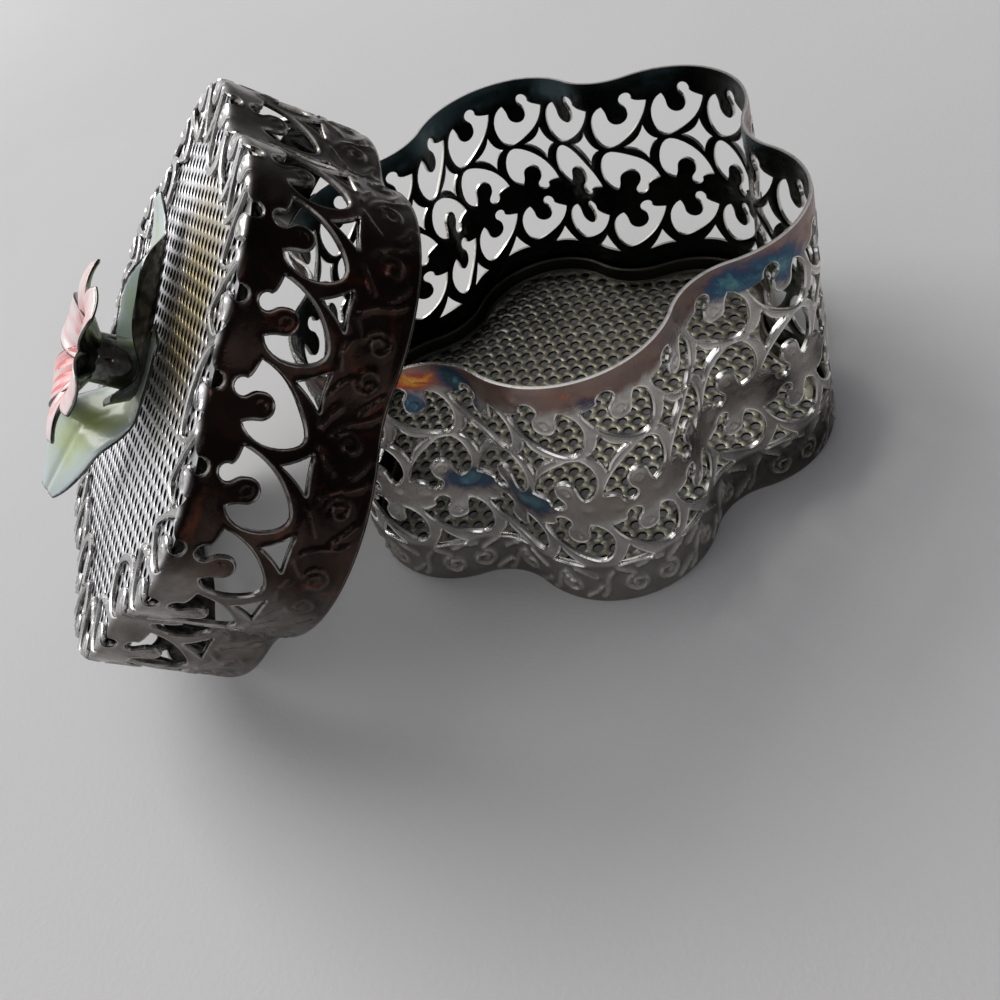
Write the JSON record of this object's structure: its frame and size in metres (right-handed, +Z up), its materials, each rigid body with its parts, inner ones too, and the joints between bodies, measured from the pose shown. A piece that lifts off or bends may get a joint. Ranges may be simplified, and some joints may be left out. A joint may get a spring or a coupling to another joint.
{
  "type": "trinket box",
  "caption": "Small six-lobed trinket box of pierced filigree sheet metal with a perforated floor and a lift-off lid that carries an enamelled flower; the lid leans against the base.",
  "frame": {"origin": "on the table, under the middle of the overall box of base and leaning lid", "axes": "+Z up, +X from the leaning lid towards the base, the front that shows the flower's side of the lid and the outside of the base faces -Y"},
  "size_m": [0.1018, 0.0774, 0.0577],
  "materials": {
    "tarnished_strip": "stamped and pierced nickel-silver sheet, warm grey tarnish with brown and blue tints near the rim, bright worn edges",
    "floor_mesh": "perforated sheet, olive-grey tarnish, paler where it is worn",
    "lid_strip": "stamped and pierced sheet, dark brown tarnish on the skirt, brighter and worn along the fold",
    "top_mesh": "perforated sheet, bright silver with an olive and gold tint in the middle",
    "leaf_enamel": "glossy enamel, pale green fading to pale blue-grey at the edges, dark bare metal underneath",
    "flower_enamel": "glossy enamel, white-pink petals with coral red at the throat, dark metal edges and backs"
  },
  "bodies": {
    "root": {"base_wall": "tarnished_strip", "base_floor": "floor_mesh", "lid_wall": "lid_strip", "lid_mesh": "top_mesh", "leaf_upper": "leaf_enamel", "leaf_lower": "leaf_enamel", "flower_corolla": "flower_enamel"}
  },
  "joints": []
}
